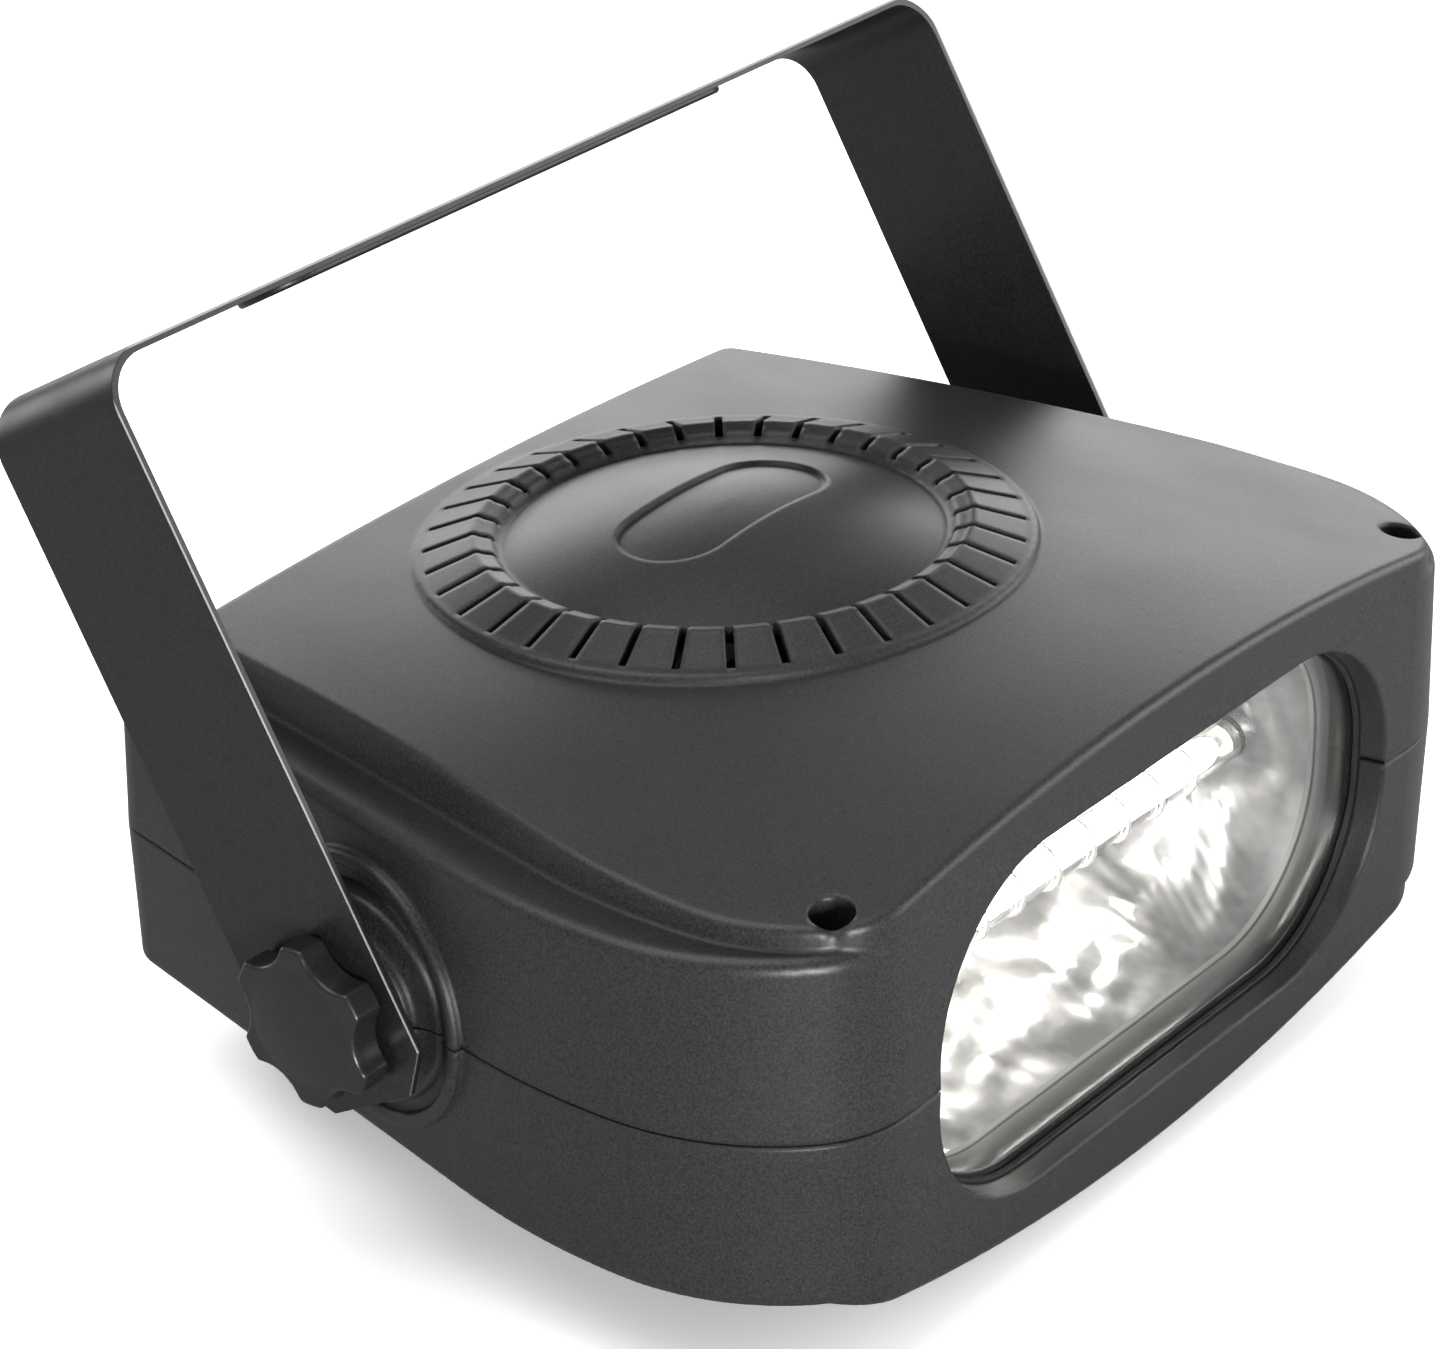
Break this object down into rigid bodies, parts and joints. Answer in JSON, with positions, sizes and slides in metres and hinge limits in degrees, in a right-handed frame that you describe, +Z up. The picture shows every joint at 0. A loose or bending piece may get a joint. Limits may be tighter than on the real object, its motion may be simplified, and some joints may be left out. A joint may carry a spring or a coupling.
{
  "type": "xenon stroboscope",
  "caption": "Strobe lamp: grey clamshell housing with a crowned top, radial vent and round-ended window, on a tilting steel yoke with lobed clamp knobs.",
  "frame": {"origin": "on the surface the feet stand on, below the tilt axis, on the middle plane", "axes": "+X across the width, along the tilt axis; -Y the way the lamp shines; +Z up"},
  "size_m": [0.2118, 0.1676, 0.1382],
  "materials": {
    "shell_plastic": "satin, fine moulded grain",
    "lens_clear": "clear, polished",
    "seal_rubber": "matt",
    "reflector_bright": "bright, hammered",
    "tube_glass": "clear quartz, warm white when lit",
    "electrode_metal": "bright",
    "holder_ceramic": "matt",
    "trigger_wire_metal": "drawn",
    "lead_insulation": "satin",
    "board_laminate": "satin",
    "screw_steel": "zinc plated",
    "capacitor_sleeve": "satin",
    "transformer_resin": "satin",
    "resistor_ceramic": "matt",
    "heat_sink_metal": "anodised",
    "device_resin": "matt",
    "terminal_plastic": "satin",
    "panel_paint": "satin",
    "potentiometer_metal": "satin",
    "nut_steel": "nickel plated",
    "shaft_metal": "turned",
    "knob_plastic": "glossy",
    "fuse_holder_plastic": "satin",
    "fuse_glass": "clear",
    "gland_plastic": "satin",
    "bracket_paint": "satin powder coat",
    "washer_fibre": "matt",
    "foot_rubber": "matt"
  },
  "bodies": {
    "housing": {"top_shell": "shell_plastic", "bottom_shell": "shell_plastic", "rubber_feet": "foot_rubber", "case_screws": "screw_steel", "front_lens": "lens_clear", "lens_gasket": "seal_rubber", "reflector": "reflector_bright", "flash_tube": "tube_glass", "trigger_wire": "trigger_wire_metal", "circuit_board": "board_laminate", "board_screws": "screw_steel", "storage_capacitors": "capacitor_sleeve", "trigger_transformer": "transformer_resin", "power_resistor": "resistor_ceramic", "heat_sink": "heat_sink_metal", "thyristor": "device_resin", "terminal_block": "terminal_plastic", "rear_panel": "panel_paint", "rate_potentiometer": "potentiometer_metal", "rate_nut": "nut_steel", "fuse_holder": "fuse_holder_plastic", "fuse_nut": "fuse_holder_plastic", "fuse_cap": "fuse_holder_plastic", "fuse": "fuse_glass", "gland_body": "gland_plastic", "gland_lock_nut": "gland_plastic", "gland_seal": "seal_rubber", "gland_dome_nut": "gland_plastic", "left_electrode": "electrode_metal", "left_tube_holder": "holder_ceramic", "left_tube_lead": "lead_insulation", "left_friction_washer": "washer_fibre", "left_pivot_nut": "nut_steel", "right_electrode": "electrode_metal", "right_tube_holder": "holder_ceramic", "right_tube_lead": "lead_insulation", "right_friction_washer": "washer_fibre", "right_pivot_nut": "nut_steel"},
    "bracket": {"bracket": "bracket_paint"},
    "rate_control": {"rate_knob": "knob_plastic", "rate_shaft": "shaft_metal"},
    "left_clamp_washer": {"left_knob_washer": "nut_steel"},
    "left_clamp": {"left_clamp_knob": "knob_plastic", "left_clamp_stud": "nut_steel"},
    "right_clamp_washer": {"right_knob_washer": "nut_steel"},
    "right_clamp": {"right_clamp_knob": "knob_plastic", "right_clamp_stud": "nut_steel"}
  },
  "joints": [
    {"name": "bracket_tilt", "type": "hinge", "parent": "housing", "child": "bracket", "pos_m": [0, 0, 0.044], "axis": [1, 0, 0], "continuous": true},
    {"name": "left_clamp_travel", "type": "slide", "parent": "housing", "child": "left_clamp_washer", "axis": [-1, 0, 0], "range_m": [0, 0.002]},
    {"name": "left_clamp_turn", "type": "hinge", "parent": "left_clamp_washer", "child": "left_clamp", "pos_m": [-0.1, 0, 0.044], "axis": [-1, 0, 0], "range_deg": [0, 719]},
    {"name": "right_clamp_travel", "type": "slide", "parent": "housing", "child": "right_clamp_washer", "axis": [1, 0, 0], "range_m": [0, 0.002]},
    {"name": "right_clamp_turn", "type": "hinge", "parent": "right_clamp_washer", "child": "right_clamp", "pos_m": [0.1, 0, 0.044], "axis": [1, 0, 0], "range_deg": [0, 719]},
    {"name": "rate_knob_turn", "type": "hinge", "parent": "housing", "child": "rate_control", "pos_m": [-0.034, 0.07, 0.044], "axis": [0, 1, 0], "range_deg": [-150, 150]}
  ],
  "couplings": [
    {"joint": "left_clamp_travel", "follows": "left_clamp_turn", "m_per_rad": 0.00015915},
    {"joint": "right_clamp_travel", "follows": "right_clamp_turn", "m_per_rad": 0.00015915}
  ]
}
